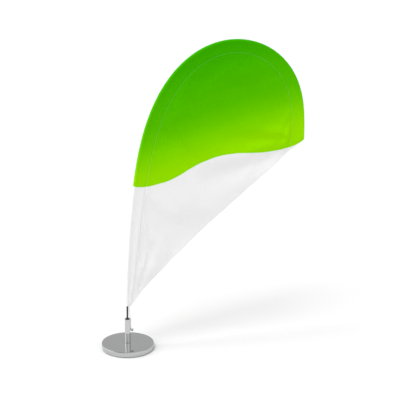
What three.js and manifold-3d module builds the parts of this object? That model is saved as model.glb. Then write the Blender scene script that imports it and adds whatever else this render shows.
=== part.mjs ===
// Tabletop teardrop flag. A bent rod fills the sleeve of a printed flag and stands in a chrome tube,
// which turns on a heavy disc base. An elastic pulls the flag's tail down to a hook on the tube.
// Millimetres, +Z up. The origin is the middle of the base's underside, +X runs from the rod towards
// the flag's free corner, and Y is across the cloth, with the front panel on the -Y side.
import * as THREE from "three";
import { mergeVertices } from "three/addons/utils/BufferGeometryUtils.js";
import Module from "manifold-3d";

const wasm = await Module();
wasm.setup();

// Base
const discDiameter = 74;
const discThickness = 7.2;
const discChamfer = 0.6;
const padInset = 3; // of the pad's edge from the disc's
const padThickness = 1.4;
const padRecess = 0.6; // how deep the pad is let into the disc

// The screw that holds the tube, and what turns on it
const screwDiameter = 4;
const screwLength = 9; // below the head
const screwHeadDiameter = 7.6;
const screwHeadHeight = 2.2;
const screwKey = 2.5; // across the flats of the hex socket
const screwKeyDepth = 1.3;
const screwTipChamfer = 0.4;
const springWasherThickness = 0.9;
const springWasherSplit = 0.5;
const glideWasherDiameter = 10;
const glideWasherThickness = 0.5;

// Tube and bush
const tubeDiameter = 8;
const tubeHeight = 36;
const tubeChamfer = 0.3;
const boreDiameter = 5.7;
const boreDepth = 27;
const tappedDepth = 7.5;
const bushFloor = 1.2;
const bushRim = 0.8; // height of the rim that rests on the tube
const bushRimWidth = 0.5; // how far the rim reaches over the tube's end
const bushChamfer = 0.3;

// Hook
const hookWire = 1.2;
const hookHeight = 20; // of its shank above the disc
const hookDrop = 2.4; // between its two bends
const hookCurl = 0.95; // bend radius

// Rod
const rodDiameter = 2.5;
const bowLength = 678; // along the rod's line, from the tube's mouth past the sleeve's end
const bowTurn = 179; // degrees between the rod's two ends
const rodShort = 14; // of that line's end
const capLength = 8;
const capWall = 0.45;
const capEnd = 1.5; // solid rubber beyond the rod
const capRound = 0.5;

// Flag
const cloth = 0.4;
const clothGap = 0.14; // between the two panels where they lie flat
const tailHeight = 20; // of the sleeve's mouth above the tube
const tailWidth = 1; // flat cloth beyond the seam at the tail
const sleeveShort = 6; // of the end of the rod's line
const endSlant = 0.62; // how fast the sleeve's end runs on towards the inside
const mouthLength = 35; // over which the sleeve stays high for the elastic's ends
const endFlat = 0.3; // sewn flat at the sleeve's end
const endTaper = 4.2; // over which the sleeve flattens before that
const hollowNearTail = 20;
const hollowNearCorner = 5;
const hemInset = 4;
const threadWidth = 0.5;
const threadHeight = 0.22;
const elasticDiameter = 1;
const elasticSewnIn = 6; // length of the ends inside the sleeve's mouth

// Clearances
const seatFit = 0.05; // all round a seated piece
const slideFit = 0.1; // all round the rod in its bush
const screwFit = 0.15; // between the plain screw and the plain tapped hole
const holeFit = 0.2; // round a piece that passes freely
const padFit = 0.3; // round the pad in its recess
const headRoom = 0.6; // between the screw's head and the pad
const counterboreFit = 1.5; // round the glide washer
const sleeveFit = 0.15; // round the rod's cap in the sleeve
const threadLift = 0.03; // between a stitch line and the cloth
const loopFit = 0.15; // between the elastic's loop and the hook

// How tightly the rod bends at each share of the bow, in relative units.
const bowShape = [[0, 8], [0.22, 5], [0.32, 16], [0.43, 37], [0.53, 65], [0.62, 95], [0.78, 96],
  [0.87, 86], [0.94, 37], [1, -22]];

// Distance from the rod's line to the sleeve's seam, at each share of the sleeve.
const seamShape = [[0, 4.6], [0.05, 9.4], [0.1, 12.2], [0.2, 15.6], [0.36, 18.2], [0.52, 18], [0.66, 16],
  [0.9, 15.6], [1, 17]];

const discBottom = padThickness - padRecess;
const discTop = discBottom + discThickness;
const padRadius = discDiameter / 2 - padInset;
const headBottom = padThickness + headRoom;
const headTop = headBottom + screwHeadHeight;
const springTop = headTop + springWasherThickness;
const webBottom = springTop + glideWasherThickness;
const tubeTop = discTop + tubeHeight;
const boreFloor = tubeTop - boreDepth;
const screwHole = screwDiameter / 2 + holeFit;
const capRadius = rodDiameter / 2 + seatFit + capWall;
const sleeveRise = capRadius + sleeveFit + cloth / 2; // middle of the cloth above the rod's line
const flatRise = (clothGap + cloth) / 2; // middle of the cloth where the panels lie flat
const rodReach = bowLength - rodShort; // where the rod ends on its line
const sleeveStart = tailHeight;
const sleeveEnd = bowLength - sleeveShort;
const sleeveSteps = 38; // even steps along the sleeve

function between(table, share) {
  const last = table.length - 1;
  let k = 0;
  while (k < last - 1 && share > table[k + 1][0]) k += 1;
  const [from, a] = table[k];
  const [to, b] = table[k + 1];
  return a + (b - a) * THREE.MathUtils.clamp((share - from) / (to - from), 0, 1);
}

function toSolid(geometry) {
  const bare = geometry.index ? geometry.toNonIndexed() : geometry.clone();
  bare.deleteAttribute("normal");
  bare.deleteAttribute("uv");
  const merged = mergeVertices(bare, 1e-4);
  const triVerts = new Uint32Array(merged.index.array);
  return new wasm.Manifold(new wasm.Mesh({ numProp: 3, vertProperties: merged.attributes.position.array, triVerts }));
}

function cut(geometry, ...tools) {
  const solid = tools.reduce((left, tool) => left.subtract(toSolid(tool)), toSolid(geometry));
  const mesh = solid.getMesh();
  const result = new THREE.BufferGeometry();
  result.setAttribute("position", new THREE.BufferAttribute(new Float32Array(mesh.vertProperties), 3));
  result.setIndex(new THREE.BufferAttribute(new Uint32Array(mesh.triVerts), 1));
  return result;
}

// A solid of revolution about Z from [radius, height] pairs.
function turned(profile, sides) {
  const points = profile.map(([r, z]) => new THREE.Vector2(r, z));
  return new THREE.LatheGeometry(points, sides).rotateX(Math.PI / 2);
}

function roundShape(radius, sides) {
  const points = [];
  for (let k = 0; k < sides; k += 1) {
    const angle = (2 * Math.PI * k) / sides;
    points.push(new THREE.Vector2(radius * Math.cos(angle), radius * Math.sin(angle)));
  }
  return new THREE.Shape(points);
}

function tubeAlong(path, diameter, sides, steps) {
  return new THREE.ExtrudeGeometry(roundShape(diameter / 2, sides), { extrudePath: path, steps, bevelEnabled: false });
}

// A closed skin over equal rings of points, one ring after another, with a flat end on each.
function skinOver(rings) {
  const size = rings[0].length;
  const positions = rings.flat().flatMap((p) => [p.x, p.y, p.z]);
  const index = [];
  for (let r = 0; r + 1 < rings.length; r += 1) {
    for (let k = 0; k < size; k += 1) {
      const a = r * size + k;
      const b = r * size + ((k + 1) % size);
      index.push(a, b, a + size, b, b + size, a + size);
    }
  }
  const lastRing = (rings.length - 1) * size;
  const half = size / 2;
  for (let k = 0; k + 1 < half; k += 1) {
    const opposite = size - 1 - k;
    index.push(k, opposite, k + 1, opposite, opposite - 1, k + 1);
    index.push(lastRing + k, lastRing + k + 1, lastRing + opposite);
    index.push(lastRing + opposite, lastRing + k + 1, lastRing + opposite - 1);
  }
  const geometry = new THREE.BufferGeometry();
  geometry.setAttribute("position", new THREE.BufferAttribute(new Float32Array(positions), 3));
  geometry.setIndex(index);
  return geometry;
}

// The other side's copy of a geometry, across the plane of the flag.
function mirrored(geometry) {
  const copy = geometry.clone().scale(1, -1, 1);
  const index = copy.index.array;
  for (let k = 0; k < index.length; k += 3) {
    [index[k + 1], index[k + 2]] = [index[k + 2], index[k + 1]];
  }
  return copy;
}

// The rod's line: points and leans at every step from the tube's mouth.
function bendBow(step) {
  const count = Math.round(bowLength / step);
  const bends = [];
  for (let k = 0; k <= count; k += 1) bends.push(between(bowShape, k / count));
  const whole = bends.slice(1).reduce((sum, bend, k) => sum + (bend + bends[k]) / 2, 0);
  const scale = THREE.MathUtils.degToRad(bowTurn) / whole;
  const line = [{ x: 0, z: tubeTop, lean: 0 }];
  for (let k = 1; k <= count; k += 1) {
    const { x, z, lean } = line[k - 1];
    const next = lean + (scale * (bends[k] + bends[k - 1])) / 2;
    const middle = (lean + next) / 2;
    line.push({ x: x + step * Math.sin(middle), z: z + step * Math.cos(middle), lean: next });
  }
  return line;
}

const bowStep = 1;
const bow = bendBow(bowStep);

// A point at a distance along the rod's line and another towards the inside of the bow.
function onBow(along, inward, y = 0) {
  const k = THREE.MathUtils.clamp(Math.floor(along / bowStep), 0, bow.length - 1);
  const { x, z, lean } = bow[k];
  const past = along - k * bowStep;
  const px = x + past * Math.sin(lean) + inward * Math.cos(lean);
  const pz = z + past * Math.cos(lean) - inward * Math.sin(lean);
  return new THREE.Vector3(px, y, pz);
}

function bowCurve(from, to) {
  const spans = Math.ceil((to - from) / 9);
  const points = [];
  for (let k = 0; k <= spans; k += 1) points.push(onBow(from + ((to - from) * k) / spans, 0));
  return points;
}

function seamAt(along) {
  return between(seamShape, (along - sleeveStart) / (sleeveEnd - sleeveStart));
}

function basePad() {
  return new THREE.CylinderGeometry(padRadius, padRadius, padThickness, 48)
    .rotateX(Math.PI / 2)
    .translate(0, 0, padThickness / 2);
}

function baseDisc() {
  const rim = discDiameter / 2;
  const recess = padRadius + padFit;
  const counterbore = glideWasherDiameter / 2 + counterboreFit;
  return turned([
    [screwHole, webBottom],
    [counterbore, webBottom],
    [counterbore, padThickness],
    [recess, padThickness],
    [recess, discBottom],
    [rim - discChamfer, discBottom],
    [rim, discBottom + discChamfer],
    [rim, discTop - discChamfer],
    [rim - discChamfer, discTop],
    [screwHole, discTop],
    [screwHole, webBottom],
  ], 48);
}

function flatRing(outer, inner, bottom, thickness) {
  const top = bottom + thickness;
  return turned([[inner, bottom], [outer, bottom], [outer, top], [inner, top], [inner, bottom]], 24);
}

function glideWasher() {
  return flatRing(glideWasherDiameter / 2, screwHole, springTop, glideWasherThickness);
}

function springWasher() {
  const ring = flatRing(screwHeadDiameter / 2, screwHole, headTop, springWasherThickness);
  const split = new THREE.BoxGeometry(screwHeadDiameter, springWasherSplit, springWasherThickness * 3)
    .translate(screwHeadDiameter / 2, 0, headTop);
  return cut(ring, split);
}

function baseScrew() {
  const shank = screwDiameter / 2 - seatFit;
  const head = screwHeadDiameter / 2;
  const body = turned([
    [0, headBottom],
    [head * 0.62, headBottom],
    [head * 0.88, headBottom + screwHeadHeight * 0.3],
    [head, headBottom + screwHeadHeight * 0.75],
    [head, headTop],
    [shank, headTop],
    [shank, headTop + screwLength - screwTipChamfer],
    [shank - screwTipChamfer, headTop + screwLength],
    [0, headTop + screwLength],
  ], 24);
  const key = new THREE.CylinderGeometry(screwKey / Math.sqrt(3), screwKey / Math.sqrt(3), screwKeyDepth * 2, 6)
    .rotateX(Math.PI / 2)
    .translate(0, 0, headBottom);
  return cut(body, key);
}

const hookZ = discTop + hookHeight;

function socketTube() {
  const wall = tubeDiameter / 2;
  const bore = boreDiameter / 2;
  const tapped = screwDiameter / 2 + screwFit;
  const body = turned([
    [0, discTop + tappedDepth],
    [tapped, discTop + tappedDepth],
    [tapped, discTop],
    [wall - tubeChamfer, discTop],
    [wall, discTop + tubeChamfer],
    [wall, tubeTop - tubeChamfer],
    [wall - tubeChamfer, tubeTop],
    [bore, tubeTop],
    [bore, boreFloor],
    [0, boreFloor],
  ], 32);
  const hookHole = new THREE.CylinderGeometry(hookWire / 2 + holeFit, hookWire / 2 + holeFit, wall, 16)
    .rotateZ(Math.PI / 2)
    .translate(wall, 0, hookZ);
  return cut(body, hookHole);
}

const bushBottom = boreFloor + seatFit;
const rodBottom = bushBottom + bushFloor;

function rodBush() {
  const outer = boreDiameter / 2 - seatFit;
  const inner = rodDiameter / 2 + slideFit;
  const rim = outer + bushRimWidth;
  const top = tubeTop + bushRim;
  return turned([
    [0, bushBottom],
    [outer, bushBottom],
    [outer, tubeTop],
    [rim, tubeTop],
    [rim, top - bushChamfer],
    [rim - bushChamfer, top],
    [inner + bushChamfer, top],
    [inner, top - bushChamfer],
    [inner, rodBottom],
    [0, rodBottom],
  ], 28);
}

// The hook's shank leaves the tube level, turns down, and curls up again at its end, so the
// elastic's loop is caught under the shank beside the tube.
const elasticX = tubeDiameter / 2 + elasticDiameter / 2 + holeFit;
const dropX = elasticX + elasticDiameter / 2 + loopFit + hookWire / 2;

function arcPoints(centreX, centreZ, radius, from, to, count) {
  const points = [];
  for (let k = 0; k <= count; k += 1) {
    const angle = THREE.MathUtils.degToRad(from + ((to - from) * k) / count);
    points.push(new THREE.Vector3(centreX + radius * Math.cos(angle), 0, centreZ + radius * Math.sin(angle)));
  }
  return points;
}

function cordHook() {
  const inside = boreDiameter / 2 + seatFit;
  const curlZ = hookZ - hookCurl - hookDrop / 2;
  const tip = new THREE.Vector3(dropX + 2 * hookCurl + 0.15, 0, hookZ + 0.3);
  const path = new THREE.CatmullRomCurve3([
    new THREE.Vector3(inside, 0, hookZ),
    new THREE.Vector3((inside + dropX - hookCurl) / 2, 0, hookZ),
    ...arcPoints(dropX - hookCurl, hookZ - hookCurl, hookCurl, 90, 0, 4),
    ...arcPoints(dropX + hookCurl, curlZ, hookCurl, 180, 360, 6),
    tip,
  ]);
  return tubeAlong(path, hookWire, 10, 26);
}

function rod() {
  const straight = new THREE.Vector3(0, 0, rodBottom);
  const middle = new THREE.Vector3(0, 0, (rodBottom + tubeTop) / 2);
  const path = new THREE.CatmullRomCurve3([straight, middle, ...bowCurve(0, rodReach)]);
  path.arcLengthDivisions = 1200;
  return tubeAlong(path, rodDiameter, 10, 68);
}

// The cap over the rod's thin end, turned about the rod's last stretch.
function rodTipCap() {
  const inner = rodDiameter / 2 + seatFit;
  const start = rodReach - capLength + capEnd;
  const bottom = rodReach + seatFit;
  const end = bottom + capEnd;
  const sides = 16;
  const outline = [[start, inner], [start, capRadius], [end - capRound, capRadius], [end, capRadius - capRound]];
  const tipLine = new THREE.LineCurve3(onBow(start, 0), onBow(end, 0));
  const length = tipLine.getLength();
  const profile = [
    [0, bottom - start],
    [inner, bottom - start],
    ...outline.map(([along, radius]) => [radius, along - start]),
    [0, length],
  ];
  const heading = tipLine.getTangent(0);
  const turn = new THREE.Quaternion().setFromUnitVectors(new THREE.Vector3(0, 0, 1), heading);
  return turned(profile, sides).applyQuaternion(turn).translate(tipLine.v1.x, 0, tipLine.v1.z);
}

// Where the slanted end of the sleeve lies for a point that is so far inward from the rod.
function sleeveEndAt(inward) {
  return sleeveEnd + endSlant * inward;
}

// Stations along the sleeve: even steps, and a few close ones where it flattens at its end.
function sleeveStations(steps) {
  const close = [endFlat + endTaper, endFlat + endTaper / 2, endFlat, 0];
  const stations = [];
  const evenEnd = sleeveEnd - 2 * endTaper;
  for (let k = 0; k <= steps; k += 1) stations.push(sleeveStart + ((evenEnd - sleeveStart) * k) / steps);
  return [...stations, ...close.map((back) => sleeveEnd - back)];
}

// The same share of the way along, for a line that is so far inward.
function slanted(station, inward) {
  const share = (station - sleeveStart) / (sleeveEnd - sleeveStart);
  const full = sleeveEndAt(inward) - sleeveStart;
  return sleeveStart + full - (sleeveEnd - sleeveStart) * (1 - share) * (full / (sleeveEnd - sleeveStart));
}

const edgeOut = sleeveRise + cloth / 2;

// The sleeve's section at a station, as [inward, height] pairs in the middle of the cloth. It runs
// from the outer edge over the rod to the seam. At the tail it stays high over the elastic's ends.
function sleeveSection(station) {
  const seam = seamAt(station);
  const mouth = THREE.MathUtils.clamp(1 - (station - sleeveStart) / mouthLength, 0, 1);
  const level = 0.65 * seam * mouth;
  const foot = 0.94 * seam;
  const closing = THREE.MathUtils.clamp((sleeveEnd - station - endFlat) / endTaper, 0, 1);
  const raised = (height) => flatRise + (height - flatRise) * closing;
  const section = [
    [-edgeOut, flatRise],
    [-sleeveRise - 0.05, raised(0.45 * sleeveRise)],
    [-0.62 * sleeveRise, raised(0.83 * sleeveRise)],
    [0, raised(sleeveRise)],
  ];
  for (const share of [0.18, 0.36, 0.55, 0.75]) {
    const inward = share * seam;
    const fall = THREE.MathUtils.clamp((inward - level) / (foot - level), 0, 1);
    const height = flatRise + (sleeveRise - flatRise) * 0.5 * (1 + Math.cos(Math.PI * fall));
    section.push([inward, raised(height)]);
  }
  section.push([seam, flatRise]);
  return section;
}

// Each section point moved half the cloth's thickness along the section's normal.
function offsetSection(section, distance) {
  return section.map(([t, h], k) => {
    const [ta, ha] = section[Math.max(k - 1, 0)];
    const [tb, hb] = section[Math.min(k + 1, section.length - 1)];
    const length = Math.hypot(tb - ta, hb - ha);
    return [t - ((hb - ha) / length) * distance, h + ((tb - ta) / length) * distance];
  });
}

// The flag's free edge, from the tail to the corner, slightly hollow.
function freeEdge() {
  const tail = onBow(sleeveStart, seamAt(sleeveStart) + tailWidth);
  const corner = onBow(sleeveEndAt(-edgeOut), -edgeOut);
  const chord = corner.clone().sub(tail);
  const along = chord.clone().normalize();
  const inward = new THREE.Vector3(-along.z, 0, along.x);
  const nearTail = tail.clone().addScaledVector(chord, 0.294).addScaledVector(inward, hollowNearTail);
  const nearCorner = corner.clone().addScaledVector(chord, -0.064).addScaledVector(inward, hollowNearCorner);
  return new THREE.CubicBezierCurve3(tail, nearTail, nearCorner, corner);
}

const edge = freeEdge();
const edgeLength = edge.getLength();
const seamEnd = onBow(sleeveEndAt(seamAt(sleeveEnd)), seamAt(sleeveEnd));
const flatEdgeShare = 1 - (seamEnd.distanceTo(edge.v3) + 1.5) / edgeLength;

function frontPanel() {
  const stations = sleeveStations(sleeveSteps);
  const rings = stations.map((station, k) => {
    const section = sleeveSection(station);
    const place = ([inward, height]) => onBow(slanted(station, inward), inward, -height);
    const share = (flatEdgeShare * k) / (stations.length - 1);
    const outer = offsetSection(section, cloth / 2).map(place);
    const inner = offsetSection(section, -cloth / 2).map(place);
    const free = edge.getPointAt(share);
    outer.push(new THREE.Vector3(free.x, -flatRise - cloth / 2, free.z));
    inner.push(new THREE.Vector3(free.x, -flatRise + cloth / 2, free.z));
    return [...outer, ...inner.reverse()];
  });
  return skinOver(rings);
}

// A flat stitch line on the front panel through points in the flag's plane.
function stitchLine(points) {
  const near = -(flatRise + cloth / 2 + threadLift);
  const far = near - threadHeight;
  const rings = points.map((point, k) => {
    const before = points[Math.max(k - 1, 0)];
    const after = points[Math.min(k + 1, points.length - 1)];
    const way = after.clone().sub(before).normalize();
    const dx = (-way.z * threadWidth) / 2;
    const dz = (way.x * threadWidth) / 2;
    return [
      new THREE.Vector3(point.x + dx, near, point.z + dz),
      new THREE.Vector3(point.x + dx, far, point.z + dz),
      new THREE.Vector3(point.x - dx, far, point.z - dz),
      new THREE.Vector3(point.x - dx, near, point.z - dz),
    ];
  });
  return skinOver(rings);
}

function channelThread() {
  const beside = threadWidth / 2 + 0.15;
  const points = sleeveStations(sleeveSteps)
    .slice(0, -1)
    .map((station) => {
      const inward = seamAt(station) + beside;
      return onBow(slanted(station, inward), inward);
    });
  points[0].lerp(points[1], 0.2); // it starts a little way into the sleeve
  return stitchLine(points);
}

function hemThread() {
  const points = [];
  const count = 30;
  const from = 0.07;
  const to = flatEdgeShare - 0.02;
  for (let k = 0; k <= count; k += 1) {
    const share = from + ((to - from) * k) / count;
    const point = edge.getPointAt(share);
    const way = edge.getTangentAt(share);
    points.push(new THREE.Vector3(point.x - way.z * hemInset, 0, point.z + way.x * hemInset));
  }
  return stitchLine(points);
}

// The bar of close stitches that holds the elastic's ends in the sleeve's mouth.
function tailTack() {
  const depth = threadHeight;
  const centre = onBow(sleeveStart + elasticSewnIn / 2, 0.4 * seamAt(sleeveStart));
  return new THREE.BoxGeometry(1.3, depth, 1.6)
    .translate(centre.x, -(sleeveRise + cloth / 2 + threadLift + depth / 2), centre.z);
}

function tensionElastic() {
  const apart = hookWire / 2 + elasticDiameter / 2 + loopFit;
  const together = elasticDiameter / 2 + seatFit;
  const sewn = onBow(sleeveStart + elasticSewnIn, 0.52 * seamAt(sleeveStart));
  const mouth = onBow(sleeveStart + 0.5, 0.52 * seamAt(sleeveStart));
  const side = [
    new THREE.Vector3(sewn.x, together, sewn.z),
    new THREE.Vector3(mouth.x, together, mouth.z),
    new THREE.Vector3(elasticX - 0.2, apart - 0.1, tubeTop + 1.6),
    new THREE.Vector3(elasticX, apart, tubeTop - 1.5),
    new THREE.Vector3(elasticX, apart, (tubeTop + hookZ) / 2),
    new THREE.Vector3(elasticX, apart, hookZ + 1),
    new THREE.Vector3(elasticX, apart, hookZ),
    new THREE.Vector3(elasticX, apart * 0.7, hookZ - apart * 0.72),
  ];
  const other = side.map((p) => new THREE.Vector3(p.x, -p.y, p.z)).reverse();
  const bottom = new THREE.Vector3(elasticX, 0, hookZ - apart);
  const path = new THREE.CatmullRomCurve3([...side, bottom, ...other]);
  path.arcLengthDivisions = 1200;
  return tubeAlong(path, elasticDiameter, 8, 96);
}

const chrome = { color: 0xc9ccd0, metalness: 1, roughness: 0.08 };
const steel = { color: 0x8d9094, metalness: 1, roughness: 0.35 };
const nylon = { color: 0xe6e4dc, metalness: 0, roughness: 0.5 };
const foam = { color: 0x1c1c1e, metalness: 0, roughness: 0.9 };
const blackPlastic = { color: 0x2a2a2c, metalness: 0, roughness: 0.55 };
const fibreglass = { color: 0x1d1d1f, metalness: 0, roughness: 0.35 };
const print = { color: 0x5fbd08, metalness: 0, roughness: 0.85 };
const whiteThread = { color: 0xf2f2ee, metalness: 0, roughness: 0.8 };

const flag = new THREE.Group();

function add(name, geometry, look) {
  const mesh = new THREE.Mesh(geometry, new THREE.MeshStandardMaterial(look));
  mesh.name = name;
  flag.add(mesh);
}

add("base_pad", basePad(), foam);
add("base_disc", baseDisc(), chrome);
add("glide_washer", glideWasher(), nylon);
add("spring_washer", springWasher(), steel);
add("base_screw", baseScrew(), steel);
add("socket_tube", socketTube(), chrome);
add("rod_bush", rodBush(), blackPlastic);
add("cord_hook", cordHook(), steel);
add("rod", rod(), fibreglass);
add("rod_tip_cap", rodTipCap(), blackPlastic);

const panel = frontPanel();
add("front_panel", panel, print);
add("back_panel", mirrored(panel), print);

const channelStitch = channelThread();
add("channel_thread_front", channelStitch, whiteThread);
add("channel_thread_back", mirrored(channelStitch), whiteThread);

const hemStitch = hemThread();
add("hem_thread_front", hemStitch, whiteThread);
add("hem_thread_back", mirrored(hemStitch), whiteThread);

const tack = tailTack();
add("tail_tack_front", tack, whiteThread);
add("tail_tack_back", mirrored(tack), whiteThread);

add("tension_elastic", tensionElastic(), whiteThread);

export default flag;
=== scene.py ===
import math

import bpy
import numpy as np
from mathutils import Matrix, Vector


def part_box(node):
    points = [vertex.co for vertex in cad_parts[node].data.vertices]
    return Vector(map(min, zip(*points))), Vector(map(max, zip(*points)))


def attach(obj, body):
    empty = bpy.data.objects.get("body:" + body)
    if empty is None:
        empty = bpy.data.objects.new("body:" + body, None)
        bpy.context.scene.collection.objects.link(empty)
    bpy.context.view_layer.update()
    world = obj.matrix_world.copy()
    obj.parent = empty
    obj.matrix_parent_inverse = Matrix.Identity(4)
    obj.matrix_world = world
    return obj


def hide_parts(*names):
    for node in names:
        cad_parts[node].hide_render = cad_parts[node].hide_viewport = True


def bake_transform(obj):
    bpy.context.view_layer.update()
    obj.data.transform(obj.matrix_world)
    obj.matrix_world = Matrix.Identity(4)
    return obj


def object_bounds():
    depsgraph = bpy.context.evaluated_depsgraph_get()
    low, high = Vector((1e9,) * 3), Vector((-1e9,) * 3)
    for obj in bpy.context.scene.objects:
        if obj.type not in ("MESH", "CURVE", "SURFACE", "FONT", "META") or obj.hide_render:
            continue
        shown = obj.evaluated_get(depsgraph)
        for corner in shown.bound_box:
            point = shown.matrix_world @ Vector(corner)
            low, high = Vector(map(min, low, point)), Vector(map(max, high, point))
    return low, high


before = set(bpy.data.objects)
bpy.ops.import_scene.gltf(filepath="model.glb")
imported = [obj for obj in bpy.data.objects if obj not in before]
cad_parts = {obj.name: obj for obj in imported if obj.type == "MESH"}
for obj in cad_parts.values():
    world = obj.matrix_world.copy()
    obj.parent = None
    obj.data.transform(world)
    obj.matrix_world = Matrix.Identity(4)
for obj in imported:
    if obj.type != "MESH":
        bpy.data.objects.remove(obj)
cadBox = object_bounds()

# Lengths are in millimetres until a mesh is made.
mm = 0.001
chance = np.random.default_rng(7)


def nodeBox(name):
    low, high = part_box(name)
    return np.array(low) / mm, np.array(high) / mm


def wayTo(view):
    # The direction of what stands so far round and so far above the floor, in degrees.
    around, above = math.radians(view["around"]), math.radians(view["above"])
    return Vector((math.sin(around) * math.cos(above), -math.cos(around) * math.cos(above), math.sin(above)))


cameraView = {
    "around": -20,  # degrees, 0 looks along +Y
    "above": 18.75,
    "distance": 2336,
    "lens": 150,
    "aimOffset": (-5.6, 0, -9.1),  # from the middle of the object
}


def addCamera(view):
    aim = (cadBox[0] + cadBox[1]) / 2 + Vector(view["aimOffset"]) * mm
    lens = bpy.data.cameras.new("studio_camera")
    lens.lens = view["lens"]
    camera = bpy.data.objects.new("studio_camera", lens)
    camera.location = aim + wayTo(view) * view["distance"] * mm
    camera.rotation_euler = (math.pi / 2 - math.radians(view["above"]), 0, math.radians(view["around"]))
    bpy.context.scene.collection.objects.link(camera)
    bpy.context.scene.camera = camera


addCamera(cameraView)


def newObject(name, points, faces):
    mesh = bpy.data.meshes.new(name)
    mesh.from_pydata((np.asarray(points) * mm).tolist(), [], faces)
    thing = bpy.data.objects.new(name, mesh)
    bpy.context.scene.collection.objects.link(thing)
    return thing


def newPiece(name, points, faces, finish, body=None, node=None, sharp=None):
    piece = newObject(name, points, faces)
    mesh = piece.data
    mesh.shade_smooth()
    if sharp is not None:
        mesh.set_sharp_from_angle(angle=math.radians(sharp))
    mesh.materials.append(finish)
    mesh.update()
    if body is not None:
        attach(piece, body)
    if node is not None:
        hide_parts(node)
    return piece


def applyModifiers(piece):
    shown = piece.evaluated_get(bpy.context.evaluated_depsgraph_get())
    mesh = bpy.data.meshes.new_from_object(shown)
    piece.modifiers.clear()
    piece.data = mesh


def gridFaces(rows, columns, ringed=False, closed=False, start=0, flip=False):
    # Ringed joins the last column to the first, and closed joins the last row to the first.
    faces = []
    for row in range(rows if closed else rows - 1):
        for column in range(columns if ringed else columns - 1):
            a = row * columns + column
            b = row * columns + (column + 1) % columns
            face = [start + k % (rows * columns) for k in (a, b, b + columns, a + columns)]
            faces.append(face[::-1] if flip else face)
    return faces


def tubeFaces(rings, sides, start=0):
    # Rings joined into a tube. The two points after the rings close its first and its last end.
    faces = gridFaces(rings, sides, ringed=True, start=start)
    middle = start + rings * sides
    last = middle - sides
    for k in range(sides):
        after = (k + 1) % sides
        faces.append((middle, start + after, start + k))
        faces.append((middle + 1, last + k, last + after))
    return faces


def unit(vectors):
    return vectors / np.maximum(np.linalg.norm(vectors, axis=-1, keepdims=True), 1e-12)


def lengthsOf(line):
    return np.concatenate([[0], np.cumsum(np.linalg.norm(np.diff(line, axis=0), axis=1))])


def readAt(lengths, walked, values):
    # Vectors that are known at the lengths walked, read at other lengths.
    return np.stack([np.interp(lengths, walked, values[:, axis]) for axis in range(3)], axis=-1)


def atLength(line, lengths):
    return readAt(lengths, lengthsOf(line), line)


def cubic(a, b, c, d, t):
    # The smooth way from b to c, with a before them and d after.
    return 0.5 * (2 * b + (c - a) * t + (2 * a - 5 * b + 4 * c - d) * t ** 2
                  + (3 * b - a - 3 * c + d) * t ** 3)


def cubicAt(values, at, axis):
    # Values read smoothly between the grid's lines.
    values = np.moveaxis(values, axis, 0)
    at = np.clip(at, 0, len(values) - 1)
    base = np.minimum(at.astype(int), len(values) - 2)
    t = (at - base).reshape(-1, *[1] * (values.ndim - 1))
    around = [values[np.clip(base + k, 0, len(values) - 1)] for k in (-1, 0, 1, 2)]
    return np.moveaxis(cubic(*around, t), 0, axis)


def roundedOutline(outline, steps=5):
    # Points are (radius, height) or (radius, height, round), where round is how far the corner is cut back.
    corners = [np.array(point[:2], float) for point in outline]
    curve = [corners[0]]
    for before, corner, after, point in zip(corners, corners[1:], corners[2:], outline[1:]):
        if len(point) < 3:
            curve.append(corner)
            continue
        first = corner + unit(before - corner) * point[2]
        last = corner + unit(after - corner) * point[2]
        for t in np.linspace(0, 1, steps + 1):
            curve.append((1 - t) ** 2 * first + 2 * t * (1 - t) * corner + t * t * last)
    curve.append(corners[-1])
    return curve


def turnedMesh(outline, sides):
    # The outline is (radius, height) pairs. It starts and ends on the axis, or closes on itself.
    onAxis = outline[0][0] < 1e-6
    points = []
    for radius, height in outline[1:-1] if onAxis else outline:
        for k in range(sides):
            angle = 2 * math.pi * k / sides
            points.append((radius * math.cos(angle), radius * math.sin(angle), height))
    rings = len(points) // sides
    if onAxis:
        points += [(0, 0, outline[0][1]), (0, 0, outline[-1][1])]
        return points, tubeFaces(rings, sides)
    return points, gridFaces(rings, sides, ringed=True, closed=True)


def alongLine(points, spacing):
    # The same line in even steps.
    points = np.asarray(points, float)
    total = lengthsOf(points)[-1]
    count = max(int(round(total / spacing)), 2)
    return atLength(points, np.linspace(0, total, count + 1))


def smoothLine(points, spacing, steps=16):
    # A smooth line through given points, in even steps.
    points = np.asarray(points, float)
    padded = np.vstack([2 * points[0] - points[1], points, 2 * points[-1] - points[-2]])
    curve = []
    for around in zip(padded, padded[1:], padded[2:], padded[3:]):
        for t in np.arange(steps) / steps:
            curve.append(cubic(*around, t))
    curve.append(points[-1])
    return alongLine(curve, spacing)


askew = (0.31, 0.94, 0.12)  # a direction that no line starts along


def sweptMesh(line, radii, sides, start=0, swell=None):
    # A round tube along a line. swell(ring, angle) scales the radius.
    line = np.asarray(line, float)
    heading = unit(np.gradient(line, axis=0))
    across = np.zeros_like(line)
    across[0] = unit(np.cross(heading[0], askew))
    for k in range(1, len(line)):
        carried = across[k - 1] - heading[k] * np.dot(across[k - 1], heading[k])
        across[k] = carried / np.linalg.norm(carried)
    other = np.cross(heading, across)
    angles = 2 * math.pi * np.arange(sides) / sides
    ring = np.cos(angles)[None, :, None] * across[:, None] + np.sin(angles)[None, :, None] * other[:, None]
    reach = np.broadcast_to(np.asarray(radii, float).reshape(-1, 1), (len(line), sides)).copy()
    if swell is not None:
        reach *= swell(np.arange(len(line))[:, None], angles[None, :])
    points = (line[:, None] + ring * reach[:, :, None]).reshape(-1, 3)
    return np.vstack([points, line[0], line[-1]]), tubeFaces(len(line), sides, start)


thinnest = 0.02  # a tube's end never closes to nothing


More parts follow.
